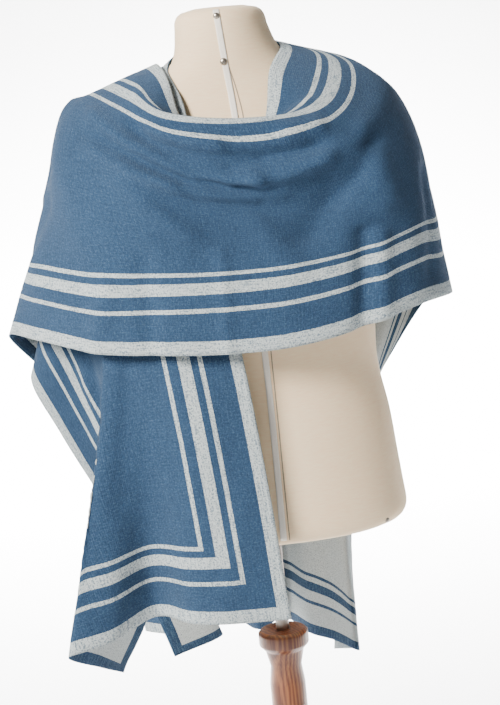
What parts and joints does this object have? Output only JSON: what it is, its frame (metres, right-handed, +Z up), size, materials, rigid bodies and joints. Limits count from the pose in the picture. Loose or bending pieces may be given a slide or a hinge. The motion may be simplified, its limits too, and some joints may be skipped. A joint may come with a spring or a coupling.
{
  "type": "ruana on limbless dress form with stand",
  "caption": "Open-front double-faced ruana with a bordered pattern, its left front thrown over the right shoulder, on a limbless dress form with a turned wooden stand.",
  "frame": {"origin": "on the floor under the stand's pole, at the middle of the base's underside", "axes": "+Z up along the pole; the form faces -Y; the form's own right shoulder is at -X"},
  "size_m": [0.5772, 0.4788, 1.54],
  "materials": {
    "Knit": "double-faced wool knit, blue face with light border stripes, reverse colours swapped",
    "Linen": "plain linen cover",
    "Steel": "brushed",
    "Turned_wood": "satin varnish"
  },
  "bodies": {
    "root": {"back_panel": "Knit", "front_panel_right": "Knit", "front_panel_left_chest": "Knit", "front_panel_left_end": "Knit", "form_torso": "Linen", "stand_pole": "Steel", "stand_column": "Turned_wood", "stand_base": "Turned_wood"}
  },
  "joints": []
}
